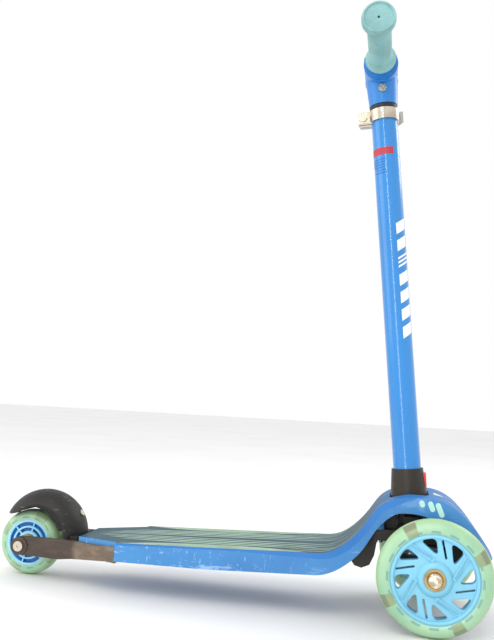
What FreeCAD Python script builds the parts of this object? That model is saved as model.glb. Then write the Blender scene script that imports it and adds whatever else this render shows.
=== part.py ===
import FreeCAD, Part
import math
import os

# Child's three-wheel lean-to-steer kick scooter, mm.
# X forward, Y left, Z up; origin on the ground under the middle of the bounding box.

# --- running gear
WHEELBASE = 498.0
REAR_X = -263.0
FRONT_X = REAR_X + WHEELBASE
FRONT_R = 60.5
REAR_R = 40.0
WHEEL_W = 24.0
TRACK_Y = 84.8
FRONT_RIM_R = 45.4
REAR_RIM_R = 27.5
BEARING_R = 11.0
AXLE_R = 4.0
SPOKES = 8
RUN_FIT = 0.05

# --- deck
DECK_HALF = 62.0
NECK_HALF = 58.0
TOP_WALL = 4.5
SIDE_WALL = 4.5

# --- lean and steering linkage
LEAN_Z = 104.0
LEAN_X = 211.0
LEVER = 32.0
KINGPIN_Y = 52.0
TIE_X = FRONT_X - LEVER
TIE_Z = LEAN_Z - LEVER

# --- column, measured along its own axis from the lean pivot
RAKE_DEG = 5.28
TUBE_R = 16.0
TUBE_WALL = 1.5
TUBE_TOP = 499.0
INNER_R = 13.9
BAR_S = 548.4
GRIP_R = 13.6
FLANGE_R = 18.8

# --- fender
FENDER_X = -245.0
FENDER_Z = 52.0
FENDER_R = 55.0
FENDER_HALF = 28.0
FENDER_T = 3.0
HINGE_X = -193.0
HINGE_Z = 41.0

V = FreeCAD.Vector
X = V(1, 0, 0)
Y = V(0, 1, 0)
Z = V(0, 0, 1)
parts = {}


def box(x0, x1, y0, y1, z0, z1):
    return Part.makeBox(x1 - x0, y1 - y0, z1 - z0, V(x0, y0, z0))


def rod(r, length, pos, axis):
    return Part.makeCylinder(r, length, pos, axis)


def ring(r_out, r_in, length, pos, axis):
    return rod(r_out, length, pos, axis).cut(rod(r_in, length, pos, axis))


def fuse(*shapes):
    return shapes[0].multiFuse(list(shapes[1:])).removeSplitter()


def spline(points):
    curve = Part.BSplineCurve()
    curve.interpolate(points)
    return curve.toShape()


def loop(*edges):
    return Part.Face(Part.Wire(list(edges)))


def line(a, b):
    return Part.makeLine(a, b)


def polygon(points):
    return Part.Face(Part.makePolygon(points + [points[0]]))


def lathe(profile, pos):
    # profile holds (radius, y) pairs turned about an axis along Y through pos
    face = polygon([V(r, y, 0) for r, y in profile])
    solid = face.revolve(V(0, 0, 0), Y, 360)
    solid.translate(pos)
    return solid


def mirrored(shape):
    return shape.mirror(V(0, 0, 0), Y)


def both(name, shape):
    parts[name + "_left"] = shape
    parts[name + "_right"] = mirrored(shape)


def on_column(shape):
    # from the column's own frame, axis up from the lean pivot, to the scooter
    moved = shape.copy()
    moved.rotate(V(0, 0, 0), Y, -RAKE_DEG)
    moved.translate(V(LEAN_X, 0, LEAN_Z))
    return moved


def coil(radius, wire, height, turns, pos, axis):
    helix = Part.makeHelix(height / turns, height, radius)
    start = Part.Circle(V(radius, 0, 0), Y, wire / 2.0).toShape()
    sweep = Part.Wire(helix).makePipeShell([Part.Wire(start)], True, True)
    sweep.Placement = FreeCAD.Placement(pos, FreeCAD.Rotation(Z, axis))
    return sweep


# ---------------------------------------------------------------- deck
def top_curve(drop):
    # upper outline of the deck from tail to nose tip, lowered by drop
    ramp = [(96, 69.3), (124, 72.8), (143, 85.2), (163.6, 109.0), (183, 130.2), (204, 136.6), (226, 137.4)]
    nose = [(226, 137.4), (248, 133.3), (271, 116.0), (289, 93.0), (301.5, 71.5)]
    tail = line(V(-190, 0, 57.3 - drop), V(96, 0, 69.3 - drop))
    up = Part.BSplineCurve()
    up.interpolate(Points=[V(x, 0, z - drop) for x, z in ramp], InitialTangent=V(1, 0, 0.042), FinalTangent=X)
    down = Part.BSplineCurve()
    down.interpolate(Points=[V(x, 0, z - drop) for x, z in nose], InitialTangent=X,
                     FinalTangent=V(0.42, 0, -1))
    return [tail, up.toShape(), down.toShape()]


def under_curve():
    arch = [(110, 46.0), (137.5, 57.0), (158, 75.9), (177.5, 105.0), (191, 116.6), (209, 120.0)]
    brow = [(209, 120.0), (240, 112.0), (262, 94.0), (278, 68.0)]
    rear = Part.BSplineCurve()
    rear.interpolate(Points=[V(x, 0, z) for x, z in arch], InitialTangent=V(1, 0, 0.14), FinalTangent=X)
    front = Part.BSplineCurve()
    front.interpolate(Points=[V(x, 0, z) for x, z in brow], InitialTangent=X, FinalTangent=V(0.4, 0, -1))
    return [rear.toShape(), front.toShape()]


def side_face(drop, floor):
    # closed side outline; with a floor the shape runs straight down to it
    top = top_curve(drop)
    if floor:
        nose = V(301.5, 0, 71.5 - drop)
        return loop(*top, line(nose, V(301.5, 0, 0)), line(V(301.5, 0, 0), V(-190, 0, 0)),
                    line(V(-190, 0, 0), V(-190, 0, 57.3 - drop)))
    return loop(line(V(-190, 0, 57.3), V(-190, 0, 38.0)), line(V(-190, 0, 38.0), V(-20, 0, 40.2)),
                line(V(-20, 0, 40.2), V(110, 0, 46.0)), *under_curve(),
                line(V(278, 0, 68.0), V(301.5, 0, 71.5)), *top)


def side_solid(drop, floor):
    face = side_face(drop, floor)
    face.translate(V(0, -80, 0))
    return face.extrude(V(0, 160, 0))


def plan_solid(inset):
    w = DECK_HALF - inset
    n = NECK_HALF - inset
    half = [V(-186 + inset, 31.2 - inset, 0), V(-127.5 + inset, 55.5 - inset, 0), V(-127.5 + inset, w, 0),
            V(90, w, 0)]
    waist = [V(90, w, 0), V(128, w - 1.1, 0), V(165, n, 0)]
    nose = [V(258, n, 0), V(283, n - 7.5, 0), V(297 - inset, 26, 0), V(302 - inset, 0, 0)]
    edges = []
    for side in (1, -1):
        def at(p):
            return V(p.x, p.y * side, 0)
        for a, b in zip(half, half[1:]):
            edges.append(line(at(a), at(b)))
        blend = Part.BSplineCurve()
        blend.interpolate(Points=[at(p) for p in waist], InitialTangent=X, FinalTangent=X)
        edges.append(blend.toShape())
        edges.append(line(at(waist[-1]), at(nose[0])))
        tip = Part.BSplineCurve()
        tip.interpolate(Points=[at(p) for p in nose], InitialTangent=X, FinalTangent=V(0, -side, 0))
        edges.append(tip.toShape())
    edges.append(line(V(-186 + inset, 31.2 - inset, 0), V(-186 + inset, -31.2 + inset, 0)))
    outline = Part.Wire(Part.__sortEdges__(edges))
    return Part.Face(outline).extrude(V(0, 0, 160))


outer = side_solid(0, False).common(plan_solid(0))
hollow = side_solid(TOP_WALL, True).common(plan_solid(SIDE_WALL))
ribs = [box(-150, 112, y - 1.5, y + 1.5, 0, 80) for y in (-30, 0, 30)]
ribs += [box(x - 1.5, x + 1.5, -DECK_HALF, DECK_HALF, 0, 80) for x in (-120, -70, -20, 30, 80, 116)]
ribs += [box(-190, -128, -60, 60, 0, 80)]
rib_body = fuse(*ribs).common(side_solid(TOP_WALL - 0.5, True)).common(outer)
well = box(LEAN_X - 24.7, LEAN_X + 19.3, -28.5, 28.5, 110, 150)
well = well.makeFillet(8, [e for e in well.Edges if abs(e.tangentAt(e.FirstParameter).z) > 0.9])
TRUCK_FIX = ((176, 39), (176, -39), (245, 39), (245, -39))
bosses = fuse(*[rod(5.5, 60, V(x, y, 98), Z) for x, y in TRUCK_FIX]).common(side_solid(TOP_WALL - 0.5, True))
deck = outer.cut(hollow).multiFuse([rib_body, bosses]).cut(well)

# grip strips lie in the upper face, 0.8 deep
GRIP_DEPTH = 0.8


def wave(x0, x1, y0, y1, y2, w):
    # one strip running from x0 to x1, bowing from y0 over y1 to y2
    xm = (x0 + x1) / 2.0
    near = spline([V(x0, y0, 30), V(xm, y1 - w, 30), V(x1, y2, 30)])
    far = spline([V(x0, y0, 30), V(xm, y1 + w, 30), V(x1, y2, 30)])
    return loop(near, far).extrude(V(0, 0, 130))


strips = []
for side in (1, -1):
    strips.append(wave(-170, 150, side * 6, side * 9, side * 14, 1.5))
    strips.append(wave(-160, 122, side * 13, side * 20, side * 24, 1.6))
    strips.append(wave(-150, 104, side * 20, side * 29, side * 31, 1.7))
    strips.append(wave(-128, 82, side * 29, side * 37.5, side * 36, 1.8))
strip_body = strips[0].multiFuse(strips[1:])
flat_skin = side_solid(0, False).cut(side_solid(GRIP_DEPTH, True)).common(box(-180, 160, -60, 60, 40, 120))
waves = flat_skin.common(strip_body)
parts["grip_waves"] = waves
deck = deck.cut(waves)

# three slanted capsules let into each side above the wheel
stripes = []
for x, z, length in ((221.5, 131.6, 2.0), (231.6, 129.4, 6.0), (240.6, 126.2, 10.5)):
    capsule = fuse(box(-2.8, 2.8, 0, 0.8, -length / 2, length / 2), rod(2.8, 0.8, V(0, 0, length / 2), Y),
                   rod(2.8, 0.8, V(0, 0, -length / 2), Y))
    capsule.rotate(V(0, 0, 0), Y, -22)
    capsule.translate(V(x, NECK_HALF - 0.8, z))
    stripes += [capsule, mirrored(capsule)]
parts["side_stripes"] = Part.makeCompound(stripes)
deck = deck.cut(parts["side_stripes"])
parts["deck_shell"] = deck

# ---------------------------------------------------------------- rear arms, fender, rear axle
arm_plan = polygon([V(-275, 28.3, 0), V(-194, 28.3, 0), V(-127.9, 55.8, 0), V(-127.9, 61.6, 0), V(-193, 34.3, 0),
                    V(-275, 34.3, 0)]).extrude(V(0, 0, 80))
arm_side = polygon([V(-263, 0, 29.5), V(-211, 0, 28.2), V(-127.9, 0, 38.2), V(-127.9, 0, 54.5), V(-169, 0, 52.0),
                    V(-263, 0, 51.5)]).extrude(V(0, 80, 0))
arm = fuse(arm_plan.common(arm_side), rod(11.0, 7.5, V(REAR_X, 28.3, 40), Y))
arm = arm.cut(rod(AXLE_R, 20, V(REAR_X, 25, 40), Y)).cut(rod(2.5, 6, V(HINGE_X, 25, HINGE_Z), Y))
tab = polygon([V(-184, 31.5, 35.0), V(-129, 54.5, 35.0), V(-129, 40, 35.0), V(-184, 17, 35.0)])
tab = tab.extrude(V(0, 0, 2.9))
arm = fuse(arm, tab)
screws = [fuse(rod(2.0, 13, V(x, y, 35), Z), rod(4.0, 1.7, V(x, y, 33.3), Z))
          for x, y in ((-172, 28), (-141, 42))]
for screw in screws:
    arm = arm.cut(screw)
    parts["deck_shell"] = parts["deck_shell"].cut(screw).cut(mirrored(screw))
both("rear_arm", arm)
parts["arm_screws"] = Part.makeCompound(screws + [mirrored(s) for s in screws])
axle = fuse(rod(AXLE_R, 75.6, V(REAR_X, -37.8, 40), Y), rod(6.2, 2.6, V(REAR_X, -38.4, 40), Y))
axle = axle.cut(rod(2.0, 1.6, V(REAR_X, -38.5, 40), Y))
parts["rear_axle"] = axle
nut = Part.Face(Part.makePolygon([V(7 * math.cos(a), 0, 7 * math.sin(a)) for a in
                                  [math.radians(60 * k) for k in range(7)]])).extrude(V(0, 5, 0))
nut.translate(V(REAR_X, 35.9, 40))
parts["rear_axle_nut"] = nut.cut(axle)
spacer = ring(6.5, AXLE_R, 16.0, V(REAR_X, 12.25, 40), Y)
both("rear_spacer", spacer)

parts["fender_pin"] = rod(2.5, 61.8, V(HINGE_X, -30.9, HINGE_Z), Y)


def dome(r_mid, r_edge, half):
    # surface of revolution about a cross axis, highest in the middle
    arc = Part.Arc(V(r_edge, -half, 0), V(r_mid, 0, 0), V(r_edge, half, 0)).toShape()
    face = loop(arc, line(V(r_edge, half, 0), V(1, half, 0)), line(V(1, half, 0), V(1, -half, 0)),
                line(V(1, -half, 0), V(r_edge, -half, 0)))
    solid = face.revolve(V(0, 0, 0), Y, -156)
    solid.rotate(V(0, 0, 0), Y, 2)
    solid.translate(V(FENDER_X, 0, FENDER_Z))
    return solid


shell = dome(FENDER_R, 39.0, FENDER_HALF).cut(dome(FENDER_R - FENDER_T, 36.3, FENDER_HALF + 0.1))
keep = rod(30, 90, V(0, 0, 0), Z)
keep.Placement = FreeCAD.Placement(V(FENDER_X, 0, 75.8), FreeCAD.Rotation(Z, V(-0.82, 0, 0.57)))
trim = box(-330, FENDER_X - 23, -40, 40, 40, 120).cut(keep)
shell = shell.cut(trim)
inside = dome(FENDER_R - FENDER_T / 2, 37.6, FENDER_HALF)
stiffeners = fuse(box(-288, -203, 11, 14, 58, 108), box(-288, -203, -14, -11, 58, 108))
stiffeners = stiffeners.common(inside).cut(rod(REAR_R + 5.4, 40, V(REAR_X, -20, 40), Y))
shell = shell.fuse(stiffeners)
ears = []
for y in (-27.5, 23.5):
    ear = fuse(rod(6.5, 4, V(HINGE_X, y, HINGE_Z), Y),
               box(HINGE_X - 6.5, HINGE_X + 3.5, y, y + 4, HINGE_Z, 56))
    ears.append(ear)
bridge = box(HINGE_X - 5.0, HINGE_X + 1.5, -27.5, 27.5, 50.0, 56.0)
fender = fuse(shell, bridge, *ears).cut(rod(2.5 + RUN_FIT, 60, V(HINGE_X, -30, HINGE_Z), Y))
rivet_dir = V(math.cos(math.radians(31)), 0, math.sin(math.radians(31)))
rivet_pos = V(FENDER_X, 0, FENDER_Z) + rivet_dir * (FENDER_R - FENDER_T)
rivet = fuse(rod(2.2, FENDER_T, rivet_pos, rivet_dir),
             rod(4.0, 1.3, rivet_pos + rivet_dir * FENDER_T, rivet_dir))
fender = fender.cut(rivet)
pad_block = box(-270, -236, -10, 10, 84.6, 108).common(dome(FENDER_R - FENDER_T, 36.3, FENDER_HALF))
pad_block = pad_block.cut(rod(REAR_R + 5.4, 30, V(REAR_X, -15, 40), Y))
parts["brake_fender"] = fender
parts["brake_pad"] = pad_block.cut(fender)
parts["fender_rivet"] = rivet
parts["fender_spring"] = coil(4.2, 1.4, 32.0, 9, V(HINGE_X, -16.0, HINGE_Z), Y)


# ---------------------------------------------------------------- wheels
def bearings(pos):
    pair = []
    for y in (-11.5, 4.5):
        pair.append(ring(BEARING_R, AXLE_R + RUN_FIT, 7.0, pos + V(0, y, 0), Y))
    sleeve = ring(6.0, AXLE_R + RUN_FIT, 9.0, pos + V(0, -4.5, 0), Y)
    return pair, sleeve


def front_tyre(pos):
    w = WHEEL_W / 2.0
    outline = loop(line(V(FRONT_RIM_R, -w + 1.5, 0), V(49.5, -w, 0)),
                   Part.Arc(V(49.5, -w, 0), V(FRONT_R, 0, 0), V(49.5, w, 0)).toShape(),
                   line(V(49.5, w, 0), V(FRONT_RIM_R, w - 1.5, 0)),
                   line(V(FRONT_RIM_R, w - 1.5, 0), V(FRONT_RIM_R, -w + 1.5, 0)))
    tyre = outline.revolve(V(0, 0, 0), Y, 360)
    tyre.translate(pos)
    return tyre


def around(shape, pos, count, first=0.0):
    made = []
    for k in range(count):
        c = shape.copy()
        c.rotate(V(0, 0, 0), Y, -first - k * 360.0 / count)
        c.translate(pos)
        made.append(c)
    return made


def polar(r, deg):
    return V(r * math.cos(math.radians(deg)), 0, r * math.sin(math.radians(deg)))


def window(points, soft):
    face = polygon(points)
    solid = face.extrude(V(0, 40, 0))
    solid = solid.makeFillet(soft, [e for e in solid.Edges if abs(e.tangentAt(e.FirstParameter).y) > 0.9])
    solid.translate(V(0, -20, 0))
    return solid


def front_wheel(side):
    pos = V(FRONT_X, side * TRACK_Y, FRONT_R)
    w = WHEEL_W / 2.0
    rim = lathe([(BEARING_R, -w), (16, -w), (19, -w + 3), (37, -w + 3), (41, -w + 0.5), (FRONT_RIM_R, -w + 1.5),
                 (FRONT_RIM_R, w - 1.5), (41, w - 0.5), (37, w - 3), (19, w - 3), (16, w), (BEARING_R, w)], pos)
    opening = window([polar(25.5, 83), polar(41.5, 111), polar(41.2, 87.5)], 2.4)
    if side > 0:
        opening = opening.mirror(V(0, 0, 0), X)
    slot = window([polar(25.0, 61.5), polar(40.4, 79.6), polar(40.6, 82.6), polar(25.0, 66.0)], 0.5)
    if side > 0:
        slot = slot.mirror(V(0, 0, 0), X)
    cuts = around(opening, pos, SPOKES) + around(slot, pos, SPOKES // 2)
    rim = rim.cut(Part.makeCompound(cuts))
    key = lathe([(FRONT_RIM_R - 0.5, -6), (49.2, -6), (49.2, 6), (FRONT_RIM_R - 0.5, 6)], V(0, 0, 0))
    sector = polygon([V(0, 0, 0), polar(70, -6), polar(70, 6)]).extrude(V(0, 30, 0))
    sector.translate(V(0, -15, 0))
    teeth = Part.makeCompound(around(key.common(sector), pos, 16, 0.0))
    rim = rim.fuse(teeth)
    tyre = front_tyre(pos).cut(teeth)
    lamp = around(box(50.5, 57.0, -7, 7, -6.5, 6.5), pos, 4, 28.0)
    tyre = tyre.cut(Part.makeCompound(lamp))
    return rim, tyre, lamp, pos


for side, name in ((1, "left"), (-1, "right")):
    rim, tyre, lamp, pos = front_wheel(side)
    pair, sleeve = bearings(pos)
    rim = rim.cut(rod(9.5, 30, pos + V(0, -15, 0), Y))
    parts["front_rim_" + name] = rim.cut(Part.makeCompound(pair + [sleeve]))
    parts["front_tyre_" + name] = tyre
    parts["front_lamps_" + name] = Part.makeCompound(lamp)
    parts["front_bearings_" + name] = Part.makeCompound(pair)
    parts["front_sleeve_" + name] = sleeve

rear_pos = V(REAR_X, 0, REAR_R)
rear_rim = lathe([(BEARING_R, -12), (14, -12), (14.5, -7), (18, -7), (18.5, -12), (20.5, -12), (21, -7), (25, -7),
                  (25.5, -12), (REAR_RIM_R, -12), (REAR_RIM_R, 12), (25.5, 12), (25, 7), (21, 7), (20.5, 12),
                  (18.5, 12), (18, 7), (14.5, 7), (14, 12), (BEARING_R, 12)], rear_pos)
rib = box(13.5, 26, -11.2, 11.2, -0.8, 0.8)
rear_rim = rear_rim.fuse(around(rib, rear_pos, 6, 15.0))
pair, sleeve = bearings(rear_pos)
parts["rear_rim"] = rear_rim.cut(rod(9.5, 30, rear_pos + V(0, -15, 0), Y)).cut(Part.makeCompound(pair + [sleeve]))
parts["rear_bearings"] = Part.makeCompound(pair)
parts["rear_sleeve"] = sleeve
rear_outline = loop(line(V(REAR_RIM_R, -12, 0), V(34.5, -12, 0)),
                    Part.Arc(V(34.5, -12, 0), V(38.4, -8.6, 0), V(REAR_R, -2.5, 0)).toShape(),
                    line(V(REAR_R, -2.5, 0), V(REAR_R, 2.5, 0)),
                    Part.Arc(V(REAR_R, 2.5, 0), V(38.4, 8.6, 0), V(34.5, 12, 0)).toShape(),
                    line(V(34.5, 12, 0), V(REAR_RIM_R, 12, 0)), line(V(REAR_RIM_R, 12, 0), V(REAR_RIM_R, -12, 0)))
rear_tyre = rear_outline.revolve(V(0, 0, 0), Y, 360)
rear_tyre.translate(rear_pos)
rear_lamp = Part.makeCompound(around(box(30.5, 36.5, -5, 5, -5, 5), rear_pos, 4, 20.0))
parts["rear_tyre"] = rear_tyre.cut(rear_lamp)
parts["rear_lamps"] = rear_lamp

# ---------------------------------------------------------------- front truck and knuckles
lean_pin = rod(5.0, 73, V(176, 0, LEAN_Z), X)
rear_block = polygon([V(145, 0, 58.5), V(149, 0, 53), V(157, 0, 51), V(166, 0, 55), V(171, 0, 66), V(174, 0, 84),
                      V(195.5, 0, 92), V(195.5, 0, 112.5), V(184, 0, 110), V(172, 0, 97), V(150, 0, 65)])
rear_block.translate(V(0, -26, 0))
rear_block = rear_block.extrude(V(0, 52, 0))
front_block = box(227, 250, -26, 26, 76, 113.5)
rails = [box(170, 250, y, y + 6, 86, 98) for y in (-42, 36)]
ties = [box(170, 180, -42, 42, 86, 97), box(240, 250, -42, 42, 86, 98), box(249, 269, -46, 46, 64, 98)]
forks = [box(225, 246, -28, 28, 40, 80)]
for z in (38.0, 76.4):
    forks.append(box(225, 246, -KINGPIN_Y, KINGPIN_Y, z, z + 6.5))
    forks += [rod(10.5, 6.5, V(FRONT_X, y, z), Z) for y in (-KINGPIN_Y, KINGPIN_Y)]
truck = fuse(rear_block, front_block, *rails, *ties, *forks).cut(lean_pin)
for y in (-KINGPIN_Y, KINGPIN_Y):
    truck = truck.cut(rod(4.0, 60, V(FRONT_X, y, 35), Z))
truck_screws = [fuse(rod(2.2, 24, V(x, y, 86), Z), rod(4.2, 2.2, V(x, y, 83.8), Z)) for x, y in TRUCK_FIX]
parts["truck_screws"] = Part.makeCompound(truck_screws)
truck = truck.cut(parts["truck_screws"])
parts["deck_shell"] = parts["deck_shell"].cut(parts["truck_screws"])
parts["front_truck"] = truck
parts["lean_pin"] = lean_pin
kingpin = fuse(rod(4.0, 45.8, V(FRONT_X, KINGPIN_Y, 37.6), Z), rod(6.5, 2.2, V(FRONT_X, KINGPIN_Y, 83.05), Z))
both("kingpin", kingpin)

knuckle = fuse(rod(9.0, 31.1, V(FRONT_X, KINGPIN_Y, 44.8), Z),
               rod(8.0, 14.4, V(FRONT_X, KINGPIN_Y + 6, FRONT_R), Y),
               box(TIE_X, FRONT_X, KINGPIN_Y - 5.5, KINGPIN_Y + 5.5, 65.0, 75.0),
               rod(7.5, 10.0, V(TIE_X, KINGPIN_Y, 65.0), Z))
knuckle = knuckle.cut(rod(4.0 + RUN_FIT, 60, V(FRONT_X, KINGPIN_Y, 35), Z))
knuckle = knuckle.cut(rod(4.0, 30, V(TIE_X, KINGPIN_Y, 60), Z)).cut(rod(AXLE_R, 30, V(FRONT_X, 57.5, FRONT_R), Y))
both("knuckle", knuckle)
bolt = fuse(rod(AXLE_R, 39.6, V(FRONT_X, 57.6, FRONT_R), Y), rod(8.3, 1.0, V(FRONT_X, 97.2, FRONT_R), Y),
            rod(6.6, 4.6, V(FRONT_X, 98.2, FRONT_R), Y))
hexagon = polygon([polar(2.9, 60 * k) for k in range(6)]).extrude(V(0, 5, 0))
hexagon.translate(V(FRONT_X, 99.8, FRONT_R))
both("axle_bolt", bolt.cut(hexagon))

tie = fuse(box(TIE_X - 7, TIE_X + 7, -58, 58, 59.5, 64.3), box(TIE_X - 6.7, TIE_X + 6.7, -13, 13, 62, 76.5),
           rod(3.2, 13, V(TIE_X, KINGPIN_Y, 62), Z), rod(3.2, 13, V(TIE_X, -KINGPIN_Y, 62), Z))
tie = tie.cut(box(TIE_X - 8, TIE_X + 8, -5.3, 5.3, 66, 80))
parts["tie_rod"] = tie

# ---------------------------------------------------------------- column
cone = Part.makeCone(22.4, 18.2, 46.0, V(0, 0, 14.5), Z)
neck = box(-14, 14, -14, 14, 0, 20)
barrel = rod(13.0, 28, V(LEAN_X - 14, 0, LEAN_Z), X)
lever = fuse(box(TIE_X - 5, TIE_X + 5, -4, 4, TIE_Z, LEAN_Z), rod(5.0, 10, V(TIE_X - 5, 0, TIE_Z), X))
wings = box(LEAN_X - 8, LEAN_X + 8, -27, 27, LEAN_Z + 1, LEAN_Z + 8)
bore = rod(TUBE_R, 60, V(0, 0, 22), Z)
button_seat = box(10, 30, -6.3, 6.3, 38.6, 55.2)
socket = fuse(on_column(cone), on_column(neck), barrel, lever, wings)
clip = box(LEAN_X - 15.2, LEAN_X + 15.2, -40, 40, 50, LEAN_Z + 15)
upper = box(100, 300, -60, 60, LEAN_Z + 15, 300)
socket = socket.common(fuse(clip, upper)).cut(on_column(bore)).cut(on_column(button_seat))
socket = socket.cut(rod(5.0 + RUN_FIT, 60, V(LEAN_X - 30, 0, LEAN_Z), X))
parts["steering_socket"] = socket

tube = ring(TUBE_R, TUBE_R - TUBE_WALL, TUBE_TOP - 22, V(0, 0, 22), Z)
tube = tube.cut(button_seat).cut(box(-20, 0, -1, 1, 455, 520))
parts["steering_tube"] = on_column(tube)

button = fuse(box(11.0, 20.9, -6.0, 6.0, 39.0, 54.8), box(9.6, 11.9, -7.6, 7.6, 37.2, 56.6),
              rod(3.2, 7.0, V(3.5, 0, 47), X))
parts["release_button"] = on_column(button)
parts["button_spring"] = on_column(coil(4.6, 1.0, 22.4, 8, V(-13.6, 0, 47), X))

bush = fuse(ring(TUBE_R - TUBE_WALL, INNER_R + RUN_FIT, 36, V(0, 0, TUBE_TOP - 36), Z),
            ring(17.0, INNER_R + RUN_FIT, 4.0, V(0, 0, TUBE_TOP), Z))
parts["guide_bush"] = on_column(bush)

band = ring(18.6, TUBE_R, 14, V(0, 0, 483.5), Z)
ear = box(-32, -16.5, -6.5, 6.5, 483.5, 497.5).cut(rod(TUBE_R + 0.8, 30, V(0, 0, 475), Z))
collar = fuse(band, ear).cut(box(-40, -10, -1, 1, 480, 500))
clamp_bolt = fuse(rod(2.5, 20.0, V(-26, -6.5, 490.5), Y), rod(5.0, 3.0, V(-26, -9.5, 490.5), Y))
clamp_bolt = fuse(clamp_bolt, rod(4.0, 7.0, V(-26, 11.5, 487.0), Z))
clamp_bolt = clamp_bolt.cut(rod(2.5, 20, V(-26, 11.5, 480), Z))
parts["clamp_collar"] = on_column(collar.cut(rod(2.5, 40, V(-26, -20, 490.5), Y)))
parts["clamp_bolt"] = on_column(clamp_bolt)
parts["cam_pin"] = on_column(rod(2.5, 13.4, V(-26, 11.5, 483.8), Z))
cam = rod(4.8, 13.0, V(-26, 11.5, 484.0), Z)
reach = fuse(box(-22, 2, 7.5, 30, 480, 500), box(0, 30, 3, 30, 480, 500))
sweep = ring(23.5, 19.6, 13.0, V(0, 0, 484.0), Z).common(reach)
arm_link = box(-27, -13, 12.5, 16.3, 484.0, 497.0)
arm_link = arm_link.cut(rod(19.6, 30, V(0, 0, 480), Z))
lever_body = fuse(cam, sweep, arm_link).cut(rod(2.5 + RUN_FIT, 30, V(-26, 11.5, 480), Z))
lever_body = lever_body.cut(box(-34, -20, -5, 17, 486.5, 494.5).common(rod(7.5, 20, V(-26, 11.5, 480), Z)))
parts["clamp_lever"] = on_column(lever_body)

# ---------------------------------------------------------------- handlebar
height_tube = ring(INNER_R, INNER_R - 1.5, 238, V(0, 0, 325), Z)
height_tube = height_tube.cut(rod(11.05, 60, V(0, -30, BAR_S), Y))
parts["height_tube"] = on_column(height_tube)
tee = fuse(Part.makeCone(17.3, 20.4, 44, V(0, 0, 504), Z), rod(20.4, 24, V(0, 0, 548), Z),
           rod(20.4, 50, V(0, -25, BAR_S), Y))
tee = tee.common(box(-60, 60, -60, 60, 500, BAR_S + 20.2))
shoulders = []
for k in range(5):
    y = 25.0 + 2.3 * k
    r = 20.8 - 0.75 * k
    shoulders += [rod(r, 1.5, V(0, y, BAR_S), Y), rod(r - 1.2, 0.9, V(0, y + 1.45, BAR_S), Y)]
    shoulders += [rod(r, 1.5, V(0, -y - 1.5, BAR_S), Y), rod(r - 1.2, 0.9, V(0, -y - 2.35, BAR_S), Y)]
tee = fuse(tee, *shoulders)
tee = tee.cut(rod(INNER_R, 83, V(0, 0, 480), Z))
tee = tee.cut(rod(11.0, 90, V(0, -45, BAR_S), Y))
bolt_shank = rod(2.5, 18, V(0, -17.9, 521), Y)
bolt_head = rod(5.0, 3.4, V(0, -20.9, 521), Y).cut(rod(2.2, 1.2, V(0, -21, 521), Y))
tee_bolt = fuse(bolt_shank, bolt_head)
tee_bolts = fuse(tee_bolt, mirrored(tee_bolt))
parts["handlebar_tee"] = on_column(tee.cut(tee_bolts))
parts["height_tube"] = parts["height_tube"].cut(on_column(tee_bolts))
parts["tee_bolts"] = on_column(tee_bolts)
crossbar = ring(11.0, 9.0, 270, V(0, -135, BAR_S), Y)
parts["crossbar"] = on_column(crossbar)

grip_profile = [(11.0, 38), (17.6, 38), (18.2, 39), (18.2, 41.5), (15.0, 43.5), (GRIP_R, 47), (GRIP_R, 122),
                (15.0, 127), (17.4, 129.5), (17.4, 131.2), (FLANGE_R, 131.8), (FLANGE_R, 137.5), (17.8, 139.2),
                (17.4, 141), (15.6, 141), (15.2, 139.8), (1.5, 139.4), (1.5, 135.3), (11.0, 135.3)]
grip = lathe(grip_profile, V(0, 0, BAR_S))
parts["grip_left"] = on_column(grip)
parts["grip_right"] = on_column(mirrored(grip))

# ---------------------------------------------------------------- lean springs
spring = coil(4.0, 1.4, 9.4, 4, V(LEAN_X, 20, 94.6), Z)
both("lean_spring", spring)
seats = box(LEAN_X - 7, LEAN_X + 7, 13.5, 38, 90.0, 93.6)
parts["front_truck"] = fuse(parts["front_truck"], seats, mirrored(seats))

os.makedirs("parts", exist_ok=True)
for name, shape in parts.items():
    shape.exportStep("parts/" + name + ".step")
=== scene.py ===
import math

import bpy
from mathutils import Matrix, Vector
from mathutils.bvhtree import BVHTree


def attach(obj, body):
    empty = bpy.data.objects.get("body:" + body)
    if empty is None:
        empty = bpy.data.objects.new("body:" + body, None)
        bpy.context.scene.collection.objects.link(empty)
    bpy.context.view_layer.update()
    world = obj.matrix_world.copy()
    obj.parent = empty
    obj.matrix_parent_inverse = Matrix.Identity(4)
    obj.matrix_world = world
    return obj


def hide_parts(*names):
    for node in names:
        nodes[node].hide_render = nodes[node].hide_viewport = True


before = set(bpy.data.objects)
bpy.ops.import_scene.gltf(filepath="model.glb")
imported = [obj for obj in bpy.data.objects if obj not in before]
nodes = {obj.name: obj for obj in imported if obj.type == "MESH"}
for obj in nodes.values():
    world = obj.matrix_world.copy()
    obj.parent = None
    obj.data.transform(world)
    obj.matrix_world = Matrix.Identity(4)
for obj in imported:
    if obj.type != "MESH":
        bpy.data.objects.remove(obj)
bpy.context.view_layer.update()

MM = 0.001
FRONT = (235.0, 60.5)
REAR = (-263.0, 40.0)
TRACK = 84.8
RAKE = math.radians(5.28)
LEAN = Vector((211.0, 0.0, 104.0))
TUBE_R = 16.0
FRONT_RIM_R = 45.4
FRONT_TYRE_R = 60.5
REAR_RIM_R = 27.5
REAR_TYRE_R = 40.0
FACE_HALF = 4.8
FACE_SHIFT = 2.7
LENS = 41.36
EYE = Vector((0.1905, -0.8993, 0.2397))
EYE_RIGHT = Vector((0.9790, 0.1975, 0.0500))
EYE_AHEAD = Vector((-0.2017, 0.9741, 0.1019))


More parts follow.
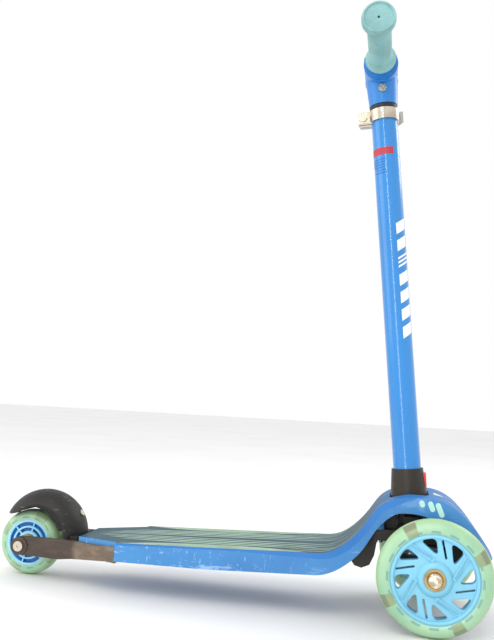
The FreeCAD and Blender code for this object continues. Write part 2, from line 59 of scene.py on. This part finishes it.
# ------------------------------------------------------------------ shader helpers
def srgb(text):
    def channel(pair):
        v = int(pair, 16) / 255.0
        return v / 12.92 if v <= 0.04045 else ((v + 0.055) / 1.055) ** 2.4
    return (channel(text[0:2]), channel(text[2:4]), channel(text[4:6]), 1.0)


class Tree:
    """A material's node tree, with short ways to add nodes."""

    def __init__(self, name):
        self.mat = bpy.data.materials.new(name)
        self.mat.use_nodes = True
        self.nt = self.mat.node_tree
        self.bsdf = next(n for n in self.nt.nodes if n.type == "BSDF_PRINCIPLED")
        self.coord = self.node("ShaderNodeTexCoord")

    def node(self, kind, **settings):
        n = self.nt.nodes.new(kind)
        for key, value in settings.items():
            setattr(n, key, value)
        return n

    def put(self, value, socket):
        if isinstance(value, bpy.types.NodeSocket):
            self.nt.links.new(value, socket)
        else:
            socket.default_value = value

    def math(self, op, a, b=0.0, c=0.0):
        n = self.node("ShaderNodeMath", operation=op)
        self.put(a, n.inputs[0])
        self.put(b, n.inputs[1])
        self.put(c, n.inputs[2])
        return n.outputs[0]

    def mix(self, factor, a, b):
        n = self.node("ShaderNodeMix", data_type="RGBA")
        self.put(factor, n.inputs[0])
        self.put(a, n.inputs[6])
        self.put(b, n.inputs[7])
        return n.outputs[2]

    def noise(self, scale, detail=3.0, rough=0.5, stretch=None):
        n = self.node("ShaderNodeTexNoise")
        source = self.coord.outputs["Object"]
        if stretch:
            m = self.node("ShaderNodeMapping")
            self.put(source, m.inputs[0])
            m.inputs["Scale"].default_value = stretch
            source = m.outputs[0]
        self.put(source, n.inputs["Vector"])
        n.inputs["Scale"].default_value = scale
        n.inputs["Detail"].default_value = detail
        n.inputs["Roughness"].default_value = rough
        return n.outputs[0]

    def step(self, value, low, high, out_low=0.0, out_high=1.0):
        n = self.node("ShaderNodeMapRange", interpolation_type="SMOOTHSTEP")
        self.put(value, n.inputs[0])
        n.inputs[1].default_value = low
        n.inputs[2].default_value = high
        n.inputs[3].default_value = out_low
        n.inputs[4].default_value = out_high
        return n.outputs[0]

    def band(self, value, low, high, soft):
        rise = self.step(value, low - soft, low + soft)
        fall = self.step(value, high - soft, high + soft)
        return self.math("SUBTRACT", rise, fall)

    def bump(self, height, strength, distance=0.0004):
        n = self.node("ShaderNodeBump")
        n.inputs["Strength"].default_value = strength
        n.inputs["Distance"].default_value = distance
        self.put(height, n.inputs["Height"])
        self.put(n.outputs[0], self.bsdf.inputs["Normal"])

    def axes(self):
        n = self.node("ShaderNodeSeparateXYZ")
        self.put(self.coord.outputs["Object"], n.inputs[0])
        return n.outputs

    def polar(self, centre):
        # radius in mm and angle in degrees about a wheel's axis
        x, _, z = self.axes()
        dx = self.math("SUBTRACT", self.math("MULTIPLY", x, 1000.0), centre[0])
        dz = self.math("SUBTRACT", self.math("MULTIPLY", z, 1000.0), centre[1])
        square = self.math("ADD", self.math("MULTIPLY", dx, dx), self.math("MULTIPLY", dz, dz))
        radius = self.math("SQRT", square)
        angle = self.math("DEGREES", self.math("ARCTAN2", dz, dx))
        return radius, angle

    def every(self, angle, period, first, width, soft=0.8):
        # marks of one width, repeating round the wheel
        turned = self.math("FLOORED_MODULO", self.math("SUBTRACT", angle, first - period / 2), period)
        return self.band(turned, (period - width) / 2, (period + width) / 2, soft)


def surface(name, colour, rough, metal=0.0, grain=900.0, bump=0.12, dirt=0.25, coat=0.0, vary=0.12,
            worn=None, wear=0.0, spread=6.0):
    """A finish with uneven roughness, fine grain, dulled patches and, where it is used, worn spots."""
    t = Tree(name)
    base = srgb(colour)
    dark = tuple(c * (1.0 - dirt) for c in base[:3]) + (1.0,)
    shade = t.step(t.noise(spread, 5.0, 0.6), 0.42, 0.72)
    tone = t.mix(shade, base, dark)
    if worn:
        scratch = t.noise(60.0, 8.0, 0.75, (1.0, 1.0, 6.0))
        mask = t.math("MULTIPLY", t.step(scratch, 0.60, 0.66), wear)
        tone = t.mix(mask, tone, srgb(worn))
    t.put(tone, t.bsdf.inputs["Base Color"])
    fine = t.noise(grain, 3.0, 0.6)
    patch = t.noise(spread * 7.0, 4.0, 0.6)
    level = t.math("MULTIPLY_ADD", patch, vary * 2.0, rough - vary)
    t.put(level, t.bsdf.inputs["Roughness"])
    t.bsdf.inputs["Metallic"].default_value = metal
    t.bsdf.inputs["Coat Weight"].default_value = coat
    t.bsdf.inputs["Coat Roughness"].default_value = 0.08
    t.bump(fine, bump)
    return t.mat


def deck_material():
    """Blue shell, slate on top; the sides carry rubbed and scratched places toward the tail."""
    t = Tree("deck_blue")
    x, y, z = t.axes()
    normal = t.node("ShaderNodeSeparateXYZ")
    t.put(t.coord.outputs["Normal"], normal.inputs[0])
    up = t.step(normal.outputs[2], 0.30, 0.45)
    cloud = t.step(t.noise(5.0, 5.0, 0.6), 0.35, 0.75)
    side = t.mix(cloud, srgb("428BC8"), srgb("3074B4"))
    top = t.mix(cloud, srgb("294F5E"), srgb("1C3B4C"))
    front = t.step(x, 0.150, 0.215)
    top = t.mix(front, top, srgb("3076BA"))
    lines = t.noise(40.0, 9.0, 0.74, (0.5, 1.0, 2.4))
    faint = t.noise(150.0, 6.0, 0.7, (2.0, 1.0, 0.6))
    rear = t.step(x, 0.13, -0.08, 0.25, 1.0)
    marks = t.math("MAXIMUM", t.step(lines, 0.57, 0.62), t.step(faint, 0.60, 0.66))
    scratch = t.math("MULTIPLY", marks, rear)
    side = t.mix(t.math("MULTIPLY", scratch, 0.6), side, srgb("B4D4FA"))
    low = t.math("MULTIPLY", t.step(z, 0.050, 0.040), t.step(t.noise(55.0, 5.0, 0.7), 0.52, 0.66))
    side = t.mix(t.math("MULTIPLY", low, 0.35), side, srgb("2F6CB8"))
    t.put(t.mix(up, side, top), t.bsdf.inputs["Base Color"])
    patch = t.noise(30.0, 5.0, 0.65)
    level = t.math("MULTIPLY_ADD", patch, 0.25, 0.22)
    t.put(t.math("ADD", level, t.math("MULTIPLY", up, 0.12)), t.bsdf.inputs["Roughness"])
    t.put(t.math("MULTIPLY_ADD", up, -0.35, 0.5), t.bsdf.inputs["Specular IOR Level"])
    t.bump(t.noise(1400.0, 2.0), 0.10)
    return t.mat


def tyre_material(name, centre, marks, inner, outer, teeth):
    """Cast translucent tyre: pale tread edge, dark tabs under the surface and olive lamp windows."""
    t = Tree(name)
    radius, angle = t.polar(centre)
    milky = t.step(t.noise(14.0, 4.0, 0.6), 0.3, 0.75)
    body = t.mix(milky, srgb("AACFAA"), srgb("8FBE9C"))
    edge = t.step(radius, outer - 5.5, outer)
    body = t.mix(t.math("MULTIPLY", edge, 0.75), body, srgb("9DBE84"))
    near = t.step(radius, inner + 4.0, inner)
    body = t.mix(t.math("MULTIPLY", near, 0.45), body, srgb("A6DCE8"))
    tabs = t.math("MULTIPLY", t.every(angle, 360.0 / teeth[0], teeth[1], teeth[2]),
                  t.band(radius, teeth[3], teeth[4], 0.35))
    body = t.mix(t.math("MULTIPLY", tabs, 0.75), body, srgb("6A9C90"))
    window = t.math("MULTIPLY", t.every(angle, 90.0, marks[0], marks[1]),
                    t.band(radius, marks[2], marks[3], 0.3))
    deep = t.step(radius, (marks[2] + marks[3]) / 2 + 0.5, (marks[2] + marks[3]) / 2 + 1.5)
    olive = t.mix(deep, srgb("8E9C74"), srgb("77785A"))
    body = t.mix(t.math("MULTIPLY", window, marks[4]), body, olive)
    grime = t.step(t.noise(90.0, 6.0, 0.7), 0.56, 0.70)
    body = t.mix(t.math("MULTIPLY", grime, t.math("MULTIPLY", edge, 0.35)), body, srgb("6F7A5A"))
    t.put(body, t.bsdf.inputs["Base Color"])
    t.bsdf.inputs["Subsurface Weight"].default_value = 0.25
    t.bsdf.inputs["Subsurface Radius"].default_value = (0.6, 1.0, 0.7)
    t.bsdf.inputs["Subsurface Scale"].default_value = 0.004
    t.put(t.math("MULTIPLY_ADD", t.noise(70.0, 5.0, 0.6), 0.30, 0.22), t.bsdf.inputs["Roughness"])
    t.bsdf.inputs["Coat Weight"].default_value = 0.25
    t.bsdf.inputs["Coat Roughness"].default_value = 0.12
    t.bump(t.noise(600.0, 4.0, 0.7), 0.15)
    return t.mat


def arm_material():
    """Dark lacquered arms with rubbed scuffs; the flared end, whose face turns toward the light, is painted a
    lighter tan grey as a painted highlight, broken up by the scuffs.
    """
    t = Tree("arm_metal")
    x, _, _ = t.axes()
    rub = t.step(t.noise(38.0, 8.0, 0.7, (1.0, 1.0, 2.2)), 0.40, 0.66)
    # painted highlight: the flared end faces the light, so it is lifted to a tan grey, mixed with the real scuffs
    # from rub
    lit_flare = t.step(x, -0.196, -0.182)
    tone = t.mix(t.math("MULTIPLY", rub, 0.5), srgb("463B33"), srgb("625449"))
    tone = t.mix(t.math("MULTIPLY", lit_flare, t.math("MULTIPLY_ADD", rub, 0.55, 0.40)), tone, srgb("8C7A66"))
    t.put(tone, t.bsdf.inputs["Base Color"])
    t.put(t.math("MULTIPLY_ADD", t.noise(50.0, 5.0), 0.35, 0.28), t.bsdf.inputs["Roughness"])
    t.bsdf.inputs["Metallic"].default_value = 0.25
    t.bump(t.noise(420.0, 5.0, 0.7), 0.22)
    return t.mat


def recessed(name):
    """Light blue rings with deep blue between them, by depth from the wheel's face."""
    t = Tree(name)
    _, y, _ = t.axes()
    depth = t.math("ABSOLUTE", y)
    cloud = t.step(t.noise(60.0, 4.0), 0.35, 0.7)
    floor_tone = t.mix(cloud, srgb("1E6CB8"), srgb("2F86D2"))
    ring_tone = t.mix(cloud, srgb("A6E4FB"), srgb("86D2F2"))
    t.put(t.mix(t.step(depth, 0.0085, 0.0108), floor_tone, ring_tone), t.bsdf.inputs["Base Color"])
    t.put(t.math("MULTIPLY_ADD", t.noise(80.0, 4.0), 0.25, 0.22), t.bsdf.inputs["Roughness"])
    t.bump(t.noise(800.0, 3.0), 0.1)
    return t.mat


def bolt_material():
    """Bright hexagon head in a dulled golden ring."""
    t = Tree("bolt_zinc")
    radius, _ = t.polar(FRONT)
    worn = t.step(t.noise(160.0, 4.0), 0.4, 0.65)
    tone = t.mix(worn, srgb("F2EDE0"), srgb("B9A987"))
    tone = t.mix(t.step(radius, 6.6, 7.2), tone, srgb("8F7444"))
    t.put(tone, t.bsdf.inputs["Base Color"])
    t.put(t.math("MULTIPLY_ADD", worn, 0.3, 0.18), t.bsdf.inputs["Roughness"])
    t.bsdf.inputs["Metallic"].default_value = 0.9
    t.bump(t.noise(900.0, 3.0), 0.2)
    return t.mat


M = {
    "bolt": bolt_material(),
    "deck": deck_material(),
    "arm": arm_material(),
    "front_tyre": tyre_material("tyre_front", FRONT, (28.0, 14.0, 46.4, 59.6, 0.85), FRONT_RIM_R,
                                FRONT_TYRE_R, (16, 0.0, 11.5, 47.4, 49.8)),
    "rear_tyre": tyre_material("tyre_rear", REAR, (64.0, 26.0, 29.5, 38.5, 0.45), REAR_RIM_R,
                               REAR_TYRE_R, (12, 10.0, 15.0, 30.6, 32.4)),
    "strip": surface("grip_green", "A3BFA6", 0.60, grain=1500.0, bump=0.2, dirt=0.25, spread=25.0),
    "edge_blue": surface("edge_blue", "2477C4", 0.34, dirt=0.15),
    "stripe": surface("stripe_mint", "B7E3DB", 0.42, dirt=0.12),
    "rear_rim": recessed("rear_core"),
    "tube": surface("tube_blue", "2082CC", 0.22, coat=0.6, dirt=0.10, bump=0.04, vary=0.06),
    "tee": surface("tee_blue", "2A7FCC", 0.36, coat=0.1, dirt=0.15, bump=0.12),
    "grip": surface("grip_teal", "82B4B4", 0.55, dirt=0.28, grain=1300.0, bump=0.3, worn="B4B48C", wear=0.85,
                    spread=26.0),
    "black": surface("black_plastic", "241C0E", 0.42, dirt=0.35, grain=900.0, bump=0.5, vary=0.15,
                     spread=20.0),
    "fender": surface("fender_black", "0E0A06", 0.50, dirt=0.3, grain=700.0, bump=0.4, worn="7A6C58", wear=0.6,
                      spread=18.0),
    "red": surface("button_red", "E8463C", 0.35, dirt=0.12),
    "steel": surface("steel", "B4B2AE", 0.34, metal=1.0, dirt=0.25, vary=0.12),
    "zinc": surface("zinc", "D8CDBB", 0.26, metal=1.0, dirt=0.3, vary=0.12, spread=30.0),
    "brass": surface("bearing_steel", "C2A674", 0.32, metal=1.0, dirt=0.35, spread=60.0),
    "rim": surface("wheel_blue", "86CDE8", 0.34, dirt=0.14, bump=0.08),
    "lamp": surface("lamp_metal", "6E7050", 0.4, metal=0.6),
    "spring": surface("spring_steel", "8C8C8C", 0.36, metal=1.0, dirt=0.3),
    "white": surface("print_white", "EDF1F2", 0.42, dirt=0.10, worn="2C8FEA", wear=0.35),
    "print_red": surface("print_red", "B93540", 0.42, dirt=0.12),
    "print_navy": surface("print_navy", "1C5FA8", 0.42, dirt=0.12),
    "cream": surface("print_cream", "D9E0C8", 0.50, dirt=0.12),
}

FINISH = {
    "deck_shell": "deck", "grip_waves": "strip", "side_stripes": "stripe", "steering_tube": "tube",
    "handlebar_tee": "tee", "release_button": "red", "guide_bush": "black", "front_truck": "black",
    "steering_socket": "black", "brake_fender": "fender", "brake_pad": "black", "rear_tyre": "rear_tyre",
    "rear_rim": "rear_rim", "clamp_collar": "zinc", "clamp_bolt": "zinc", "tee_bolts": "zinc", "rear_axle": "zinc",
    "arm_screws": "zinc", "truck_screws": "zinc", "fender_rivet": "zinc",
}
STARTS = (
    ("rear_arm", "arm"), ("grip_", "grip"), ("knuckle", "black"), ("front_tyre", "front_tyre"),
    ("front_rim", "rim"), ("axle_bolt", "bolt"),
)


def finish_of(name):
    if name in FINISH:
        return FINISH[name]
    for start, finish in STARTS:
        if name.startswith(start):
            return finish
    if "bearings" in name:
        return "brass"
    if "lamps" in name:
        return "lamp"
    if "spring" in name:
        return "spring"
    return "steel"


for name, obj in nodes.items():
    obj.data.materials.clear()
    obj.data.materials.append(M[finish_of(name)])


# ------------------------------------------------------------------ geometry helpers
def piece(name, verts, faces, material, body, smooth=True):
    """A new mesh, given in mm in the scooter's frame, that rides on one body."""
    mesh = bpy.data.meshes.new(name)
    mesh.from_pydata([Vector(v) * MM for v in verts], [], faces)
    mesh.update()
    obj = bpy.data.objects.new(name, mesh)
    bpy.context.scene.collection.objects.link(obj)
    mesh.materials.append(M[material])
    for p in mesh.polygons:
        p.use_smooth = smooth
    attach(obj, body)
    return obj


def on_column(point):
    """A point given along the column's own axis, moved into the scooter's frame."""
    x, y, z = point
    along = x * math.cos(RAKE) - z * math.sin(RAKE)
    up = x * math.sin(RAKE) + z * math.cos(RAKE)
    return Vector((along, y, up)) + LEAN


def ribbon(points_left, points_right, lift, verts, faces):
    start = len(verts)
    for a, b in zip(points_left, points_right):
        verts += [(a[0], a[1], a[2] + lift), (b[0], b[1], b[2] + lift)]
    for k in range(len(points_left) - 1):
        i = start + 2 * k
        faces.append((i, i + 2, i + 3, i + 1))


deck_tree = BVHTree.FromObject(nodes["deck_shell"], bpy.context.evaluated_depsgraph_get())


def deck_top(x):
    """Height of the deck's upper face at x, in mm."""
    y = 44.0 if 96 < x < 240 else 3.0
    hit = deck_tree.ray_cast(Vector((x * MM, y * MM, 0.3)), Vector((0, 0, -1)))[0]
    return hit.z * 1000.0


TOP = {x: deck_top(x) for x in range(-184, 300, 2)}


def top_at(x):
    low = int(math.floor(x / 2.0) * 2)
    low = max(-184, min(296, low))
    f = (x - low) / 2.0
    return TOP[low] * (1 - f) + TOP[low + 2] * f


# ------------------------------------------------------------------ grip print between the inlaid strips
def strip_line(verts, faces, x0, x1, centre, width, lift):
    """One tapered strip along the deck, given its centre line and widest half-width."""
    left, right = [], []
    steps = 56
    for i in range(steps + 1):
        f = i / steps
        x = x0 + (x1 - x0) * f
        w = 0.15 + width * math.sin(math.pi * f) ** 0.45
        y = centre(f)
        left.append((x, y - w, top_at(x)))
        right.append((x, y + w, top_at(x)))
    ribbon(left, right, lift, verts, faces)


def printed_lines():
    """Bowed strips over the foot area and a lens of closely set lines along each edge."""
    verts, faces = [], []
    rows = ((-172.0, 150.0, 5.0, 8.5, 13.0, 1.7), (-164.0, 128.0, 12.0, 18.0, 23.0, 2.2),
            (-152.0, 108.0, 20.0, 27.5, 31.0, 2.4), (-134.0, 88.0, 30.0, 36.5, 38.0, 2.2))
    for side in (1, -1):
        for x0, x1, y0, y1, y2, width in rows:
            def centre(f, y0=y0, y1=y1, y2=y2):
                return side * (y0 * (1 - f) * (1 - 2 * f) + 4 * y1 * f * (1 - f) + y2 * f * (2 * f - 1))
            strip_line(verts, faces, x0, x1, centre, width, 0.14)
        for k in range(4):
            def edge(f, k=k):
                return side * (59.6 - k * (1.2 + 3.6 * math.sin(math.pi * f) ** 0.6))
            strip_line(verts, faces, -124 + 6.0 * k, 100 - 7.0 * k, edge, 1.75, 0.12)
    strips = piece("grip_print", verts, faces, "strip", "deck")
    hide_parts("grip_waves")


def ramp_lines():
    verts, faces = [], []
    for side in (1, -1):
        for k, (y0, y1, x1) in enumerate(((52.5, 53.0, 206.0), (43.0, 45.5, 150.0), (34.0, 38.0, 128.0))):
            left, right = [], []
            steps = 60
            x0 = 60.0 + 12 * k
            for i in range(steps + 1):
                f = i / steps
                x = x0 + (x1 - x0) * f
                y = side * (y0 + (y1 - y0) * f * f)
                w = 1.1 * min(1.0, 6 * f + 0.1, 3 * (1 - f) + 0.1)
                z = top_at(x)
                left.append((x, y - w, z))
                right.append((x, y + w, z))
            ribbon(left, right, 0.12, verts, faces)
    return piece("ramp_print", verts, faces, "strip", "deck")


def nose_lines():
    """Cream lines over the nose and the pale wedge before the socket."""
    verts, faces = [], []
    for side in (1, -1):
        left, right = [], []
        for i in range(41):
            f = i / 40
            x = 244.0 + 44.0 * f
            y = side * (14.0 + 30.0 * f)
            w = 1.6 * min(1.0, 5 * f + 0.05, 5 * (1 - f) + 0.05)
            left.append((x, y - w, top_at(x)))
            right.append((x, y + w, top_at(x)))
        ribbon(left, right, 0.15, verts, faces)
    left, right = [], []
    for i in range(13):
        x = 236.0 + 12.0 * i / 12
        w = 11.0 * (1 - i / 12) ** 0.7
        left.append((x, -w, top_at(x)))
        right.append((x, w, top_at(x)))
    ribbon(left, right, 0.15, verts, faces)
    return piece("nose_print", verts, faces, "cream", "deck")


def edge_bands():
    """Darker bevel strip under the deck's upper edge, wider toward the neck."""
    verts, faces = [], []
    for side in (1, -1):
        upper, lower = [], []
        for i in range(161):
            x = -126.0 + (216.0 + 126.0) * i / 160
            w = 1.8 + 5.4 * max(0.0, min(1.0, (x - 20.0) / 120.0))
            w *= max(0.04, min(1.0, (218.0 - x) / 26.0))
            slope = (top_at(x + 2) - top_at(x - 2)) / 4.0
            drop = w * math.sqrt(1 + slope * slope)
            z = top_at(x) - 0.4
            start = Vector((x * MM, side * 0.09, (z - 0.6) * MM))
            wall = deck_tree.ray_cast(start, Vector((0, -side, 0)))[0].y * 1000.0
            y = wall + side * 0.12
            upper.append((x, y, z + 0.35))
            lower.append((x, y, z - drop))
        ribbon(upper, lower, 0.0, verts, faces)
    return piece("edge_band", verts, faces, "edge_blue", "deck", smooth=False)


printed_lines()
ramp_lines()
nose_lines()
edge_bands()


# ------------------------------------------------------------------ front wheels
def polar(radius, degrees):
    a = math.radians(degrees)
    return (radius * math.cos(a), radius * math.sin(a))


def rounded(corners, soft, steps=5):
    """Closed outline with its corners rounded off."""
    out = []
    count = len(corners)
    for i in range(count):
        p = Vector(corners[i])
        a = (Vector(corners[i - 1]) - p)
        b = (Vector(corners[(i + 1) % count]) - p)
        ra = min(soft, a.length * 0.45)
        rb = min(soft, b.length * 0.45)
        start = p + a.normalized() * ra
        end = p + b.normalized() * rb
        for k in range(steps + 1):
            f = k / steps
            out.append((start * (1 - f) + p * f) * (1 - f) + (p * (1 - f) + end * f) * f)
    return out


def circle(radius, count=96):
    return [Vector(polar(radius, 360.0 * k / count)) for k in range(count)]


def plate(name, outlines, half, bevel, centre, y, material, body):
    """A flat plate with holes and rounded edges, standing across the wheel's axis."""
    curve = bpy.data.curves.new(name, "CURVE")
    curve.dimensions = "2D"
    curve.fill_mode = "BOTH"
    curve.extrude = (half - bevel) * MM
    curve.bevel_depth = bevel * MM
    curve.bevel_resolution = 3
    curve.offset = -bevel * MM
    for outline in outlines:
        spline = curve.splines.new("POLY")
        spline.points.add(len(outline) - 1)
        for point, p in zip(spline.points, outline):
            point.co = (p.x * MM, p.y * MM, 0.0, 1.0)
        spline.use_cyclic_u = True
    shape = bpy.data.objects.new(name + "_outline", curve)
    bpy.context.scene.collection.objects.link(shape)
    bpy.context.view_layer.update()
    mesh = bpy.data.meshes.new_from_object(shape.evaluated_get(bpy.context.evaluated_depsgraph_get()))
    bpy.data.objects.remove(shape)
    mesh.name = name
    mesh.transform(Matrix.Rotation(math.radians(90), 4, "X"))
    mesh.transform(Matrix.Translation(Vector((centre[0], y, centre[1])) * MM))
    mesh.materials.clear()
    mesh.materials.append(M[material])
    obj = bpy.data.objects.new(name, mesh)
    bpy.context.scene.collection.objects.link(obj)
    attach(obj, body)
    return obj


def lathe(name, profile, centre, y, side, material, body, steps=96):
    """A ring turned from (radius, y) pairs about a wheel's axis."""
    verts, faces = [], []
    count = len(profile)
    for k in range(steps):
        a = 2 * math.pi * k / steps
        for r, w in profile:
            verts.append((centre[0] + r * math.cos(a), y + side * w, centre[1] + r * math.sin(a)))
    for k in range(steps):
        for i in range(count):
            j = (i + 1) % count
            m = (k + 1) % steps
            face = (k * count + i, k * count + j, m * count + j, m * count + i)
            faces.append(face if side < 0 else face[::-1])
    return piece(name, verts, faces, material, body)


def aim(radius, degrees, side):
    """A point on the wheel's face; the left wheel is the right one turned about."""
    return Vector(polar(radius, degrees if side < 0 else 180.0 - degrees))


def window_outline(turn, side):
    """A rounded three-cornered window between two spokes."""
    corners = [aim(23.6, 82.5 + turn, side), aim(41.4, 112.5 + turn, side), aim(41.8, 89.0 + turn, side)]
    return rounded(corners, 6.5, 9)


def bar_outline(turn, side, start, end, half):
    """A round-ended bar between two polar points."""
    a = aim(start[0], start[1] + turn, side)
    b = aim(end[0], end[1] + turn, side)
    along = (b - a).normalized() * half
    across = Vector((-along.y, along.x))
    corners = [a + across - along, a - across - along, b - across + along, b + across + along]
    return rounded(corners, half * 0.9)


# turned profiles as (radius, distance from the wheel's middle plane)
LIP = [(41.2, 6.0), (41.6, 10.0), (42.6, 11.3), (44.4, 11.3), (45.4, 10.4), (45.4, 0.0), (42.0, 0.0)]
HUB = [(11.1, 0.0), (11.1, 11.4), (12.2, 12.0), (14.6, 11.8), (16.6, 9.6), (19.0, 7.4), (19.0, 0.0)]
TREAD_HALF = [(45.5, 10.3), (49.5, 11.9), (53.0, 10.6), (56.6, 8.0), (59.2, 4.6), (60.4, 1.5)]
TREAD = TREAD_HALF + [(r, -w) for r, w in reversed(TREAD_HALF)]


def front_wheel(name, side):
    """Both faces of one front wheel's core, and its tyre."""
    body = "front_wheel_" + name
    y = side * TRACK
    outlines = [circle(42.6), circle(10.9)]
    for k in range(8):
        outlines.append(window_outline(45.0 * k, side))
    for k in range(4):
        outlines.append(bar_outline(90.0 * k, side, (24.5, 63.5), (39.8, 79.5), 1.0))
    face = plate("rim_face_" + name, outlines, FACE_HALF, 1.1, FRONT, y + side * FACE_SHIFT, "rim", body)
    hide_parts("front_rim_" + name)
    for face_side in (1, -1):
        tag = "out" if face_side == side else "in"
        lathe(f"rim_lip_{tag}_{name}", LIP, FRONT, y, face_side, "rim", body)
        lathe(f"rim_hub_{tag}_{name}", HUB, FRONT, y, face_side, "rim", body)
        for k in range(4):
            rib = bar_outline(90.0 * k, side, (20.2, 8.0), (40.4, 37.0), 2.4)
            groove = bar_outline(90.0 * k, side, (21.4, 9.5), (39.2, 36.3), 1.1)
            height = 7.9 if face_side == side else 2.5
            plate(f"rim_rib_{tag}_{name}_{k}", [rib, groove], 1.1, 0.4, FRONT, y + face_side * height, "rim",
                  body)
    tyre = lathe("tyre_" + name, TREAD, FRONT, y, 1, "front_tyre", body, steps=160)
    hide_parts("front_tyre_" + name, "front_lamps_" + name)


front_wheel("left", 1)
front_wheel("right", -1)


# ------------------------------------------------------------------ print on the steering tube
def tube_patch(verts, faces, a0, a1, s0, s1, slant=0.0, lift=0.12):
    """A rectangle on the tube, by angle round it and distance along it, sheared by slant."""
    start = len(verts)
    r = TUBE_R + lift
    steps = max(4, int(abs(a1 - a0) / 6))
    for i in range(steps + 1):
        f = i / steps
        a = math.radians(a0 + (a1 - a0) * f)
        for s in (s0, s1):
            verts.append(on_column((r * math.cos(a), r * math.sin(a), s + slant * f)))
    for i in range(steps):
        k = start + 2 * i
        faces.append((k, k + 2, k + 3, k + 1))


def tube_prints():
    verts, faces = [], []
    # plain slanted bars stand where the lettering was
    for k in range(7):
        s = 212 + 21.0 * k
        if k == 4:
            tube_patch(verts, faces, -70, -18, s + 1, s + 3.5, 8.0)
            tube_patch(verts, faces, -70, -18, s + 6, s + 8.5, 8.0)
            tube_patch(verts, faces, -70, -18, s + 11, s + 13.5, 8.0)
        else:
            tube_patch(verts, faces, -70, -18, s, s + 13.5, 8.0)
    piece("tube_bars", verts, faces, "white", "column")
    verts, faces = [], []
    tube_patch(verts, faces, -196, -58, 438.5, 447.5)
    piece("tube_red_band", verts, faces, "print_red", "column")
    verts, faces = [], []
    spans = ((-190, -98), (-182, -98), (-190, -102), (-160, -98), (-140, -98), (-150, -94))
    for k, (a0, a1) in enumerate(spans):
        tube_patch(verts, faces, a0, a1, 432.5 - 3.4 * k, 433.4 - 3.4 * k)
    piece("tube_fine_bars", verts, faces, "print_navy", "column")


tube_prints()

# ------------------------------------------------------------------ stage, light and camera
bpy.ops.mesh.primitive_plane_add(size=14, location=(0, 0, -0.0004))
floor = bpy.context.object
floor.name = "floor"
ground = Tree("floor")
cloudy = ground.step(ground.noise(3.0, 4.0), 0.3, 0.8)
tone = ground.mix(cloudy, (0.86, 0.86, 0.86, 1), (0.82, 0.82, 0.82, 1))
ground.put(tone, ground.bsdf.inputs["Base Color"])
ground.bsdf.inputs["Roughness"].default_value = 0.7
floor.data.materials.append(ground.mat)

world = bpy.data.worlds.new("studio")
bpy.context.scene.world = world
world.use_nodes = True
sky = world.node_tree.nodes["Background"]
sky.inputs[0].default_value = (1.0, 1.0, 1.0, 1)
sky.inputs[1].default_value = 1.0


def area(name, at, to, size, power, colour=(1, 1, 1)):
    lamp = bpy.data.lights.new(name, "AREA")
    lamp.shape = "RECTANGLE"
    lamp.size, lamp.size_y = size
    lamp.energy = power
    lamp.color = colour
    obj = bpy.data.objects.new(name, lamp)
    bpy.context.scene.collection.objects.link(obj)
    obj.location = at
    obj.rotation_euler = (Vector(to) - Vector(at)).to_track_quat("-Z", "Y").to_euler()


area("key", (-0.2, -1.5, 2.1), (0.0, 0.0, 0.2), (1.6, 1.2), 15.0, (1.0, 0.98, 0.95))
area("fill", (-2.0, -0.8, 1.0), (0.0, 0.0, 0.25), (1.5, 1.5), 9.0)
area("strip", (-0.09, -1.25, 0.5), (0.18, 0.0, 0.35), (0.05, 1.1), 3.0)
area("rim", (1.6, 1.2, 1.8), (0.0, 0.0, 0.3), (1.2, 1.2), 14.0, (0.95, 0.98, 1.0))

camera = bpy.data.cameras.new("camera")
camera.sensor_width = 36.0
camera.lens = LENS
eye = bpy.data.objects.new("camera", camera)
bpy.context.scene.collection.objects.link(eye)
right = EYE_RIGHT.normalized()
ahead = EYE_AHEAD.normalized()
over = right.cross(ahead).normalized()
right = ahead.cross(over).normalized()
eye.matrix_world = Matrix((
    (right.x, over.x, -ahead.x, EYE.x),
    (right.y, over.y, -ahead.y, EYE.y),
    (right.z, over.z, -ahead.z, EYE.z),
    (0, 0, 0, 1),
))
bpy.context.scene.camera = eye
bpy.context.scene.view_settings.view_transform = "Standard"
